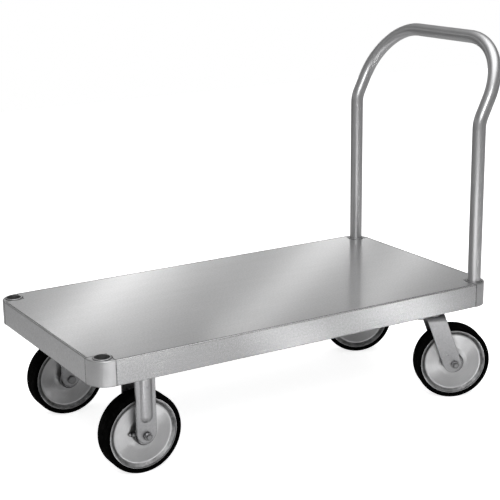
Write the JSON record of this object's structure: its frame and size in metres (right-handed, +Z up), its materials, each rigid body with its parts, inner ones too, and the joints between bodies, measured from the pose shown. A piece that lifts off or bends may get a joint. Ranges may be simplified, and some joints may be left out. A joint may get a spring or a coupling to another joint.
{
  "type": "platform truck",
  "caption": "Flatbed platform truck with a flush metal deck, rounded corner sockets, lift-out push handle, rigid front casters and swivel rear casters with rubber-tyred wheels.",
  "frame": {"origin": "on the floor under the middle of the whole truck's box, handle included", "axes": "+X towards the handle (rear) end, +Y to the operator's right, +Z up"},
  "size_m": [1.2508, 0.6131, 0.9743],
  "materials": {
    "deck_aluminium": "satin, brushed lengthways",
    "rail_aluminium": "satin extrusion",
    "cast_aluminium": "fine cast, lightly polished",
    "handle_aluminium": "satin drawn tube",
    "plated_steel": "dull zinc plate",
    "wheel_disc_metal": "turned satin",
    "hub_metal": "machined",
    "bearing_steel": "ground",
    "fitting_metal": "plated",
    "fastener_steel": "zinc plated",
    "tyre_rubber": "smooth moulded rubber"
  },
  "bodies": {
    "chassis": {"deck_sheet": "deck_aluminium", "side_rail_left": "rail_aluminium", "side_rail_right": "rail_aluminium", "end_rail_front": "rail_aluminium", "end_rail_rear": "rail_aluminium", "corner_casting_front_left": "cast_aluminium", "corner_casting_front_right": "cast_aluminium", "corner_casting_rear_left": "cast_aluminium", "corner_casting_rear_right": "cast_aluminium", "caster_bolster_front": "rail_aluminium", "caster_bolster_rear": "rail_aluminium", "cross_members": "rail_aluminium", "plate_bolts": "fastener_steel", "plate_nuts": "fastener_steel", "rigid_plate_left": "plated_steel", "rigid_plate_right": "plated_steel", "rigid_fork_left": "plated_steel", "rigid_fork_right": "plated_steel", "rigid_axle_bolts": "fastener_steel", "rigid_axle_nuts": "fastener_steel", "rigid_axle_sleeves": "fastener_steel", "rigid_thrust_washers": "fastener_steel", "swivel_plate_left": "plated_steel", "swivel_plate_right": "plated_steel", "kingpins": "fastener_steel", "king_nuts": "fastener_steel", "swivel_balls": "bearing_steel"},
    "handle": {"handle_tube": "handle_aluminium"},
    "front_wheel_left": {"tyre_front_left": "tyre_rubber", "wheel_discs_front_left": "wheel_disc_metal", "wheel_hub_front_left": "hub_metal", "roller_bearing_front_left": "bearing_steel", "grease_fitting_front_left": "fitting_metal"},
    "front_wheel_right": {"tyre_front_right": "tyre_rubber", "wheel_discs_front_right": "wheel_disc_metal", "wheel_hub_front_right": "hub_metal", "roller_bearing_front_right": "bearing_steel", "grease_fitting_front_right": "fitting_metal"},
    "rear_fork_left": {"swivel_fork_left": "plated_steel", "swivel_axle_bolt_left": "fastener_steel", "swivel_axle_nut_left": "fastener_steel", "swivel_axle_sleeve_left": "fastener_steel", "swivel_thrust_washers_left": "fastener_steel"},
    "rear_wheel_left": {"tyre_rear_left": "tyre_rubber", "wheel_discs_rear_left": "wheel_disc_metal", "wheel_hub_rear_left": "hub_metal", "roller_bearing_rear_left": "bearing_steel", "grease_fitting_rear_left": "fitting_metal"},
    "rear_fork_right": {"swivel_fork_right": "plated_steel", "swivel_axle_bolt_right": "fastener_steel", "swivel_axle_nut_right": "fastener_steel", "swivel_axle_sleeve_right": "fastener_steel", "swivel_thrust_washers_right": "fastener_steel"},
    "rear_wheel_right": {"tyre_rear_right": "tyre_rubber", "wheel_discs_rear_right": "wheel_disc_metal", "wheel_hub_rear_right": "hub_metal", "roller_bearing_rear_right": "bearing_steel", "grease_fitting_rear_right": "fitting_metal"}
  },
  "joints": [
    {"name": "handle_lift", "type": "slide", "parent": "chassis", "child": "handle", "axis": [0, 0, 1], "range_m": [0, 0.12]},
    {"name": "front_wheel_left_spin", "type": "hinge", "parent": "chassis", "child": "front_wheel_left", "pos_m": [-0.47892, -0.221, 0.1016], "axis": [0, 1, 0], "continuous": true},
    {"name": "front_wheel_right_spin", "type": "hinge", "parent": "chassis", "child": "front_wheel_right", "pos_m": [-0.47892, 0.221, 0.1016], "axis": [0, 1, 0], "continuous": true},
    {"name": "rear_caster_left_swivel", "type": "hinge", "parent": "chassis", "child": "rear_fork_left", "pos_m": [0.40208, -0.221, 0.235], "axis": [0, 0, 1], "continuous": true},
    {"name": "rear_wheel_left_spin", "type": "hinge", "parent": "rear_fork_left", "child": "rear_wheel_left", "pos_m": [0.45781, -0.24581, 0.1016], "axis": [0.4067, 0.9135, 0], "continuous": true},
    {"name": "rear_caster_right_swivel", "type": "hinge", "parent": "chassis", "child": "rear_fork_right", "pos_m": [0.40208, 0.221, 0.235], "axis": [0, 0, 1], "continuous": true},
    {"name": "rear_wheel_right_spin", "type": "hinge", "parent": "rear_fork_right", "child": "rear_wheel_right", "pos_m": [0.45781, 0.19619, 0.1016], "axis": [0.4067, 0.9135, 0], "continuous": true}
  ]
}
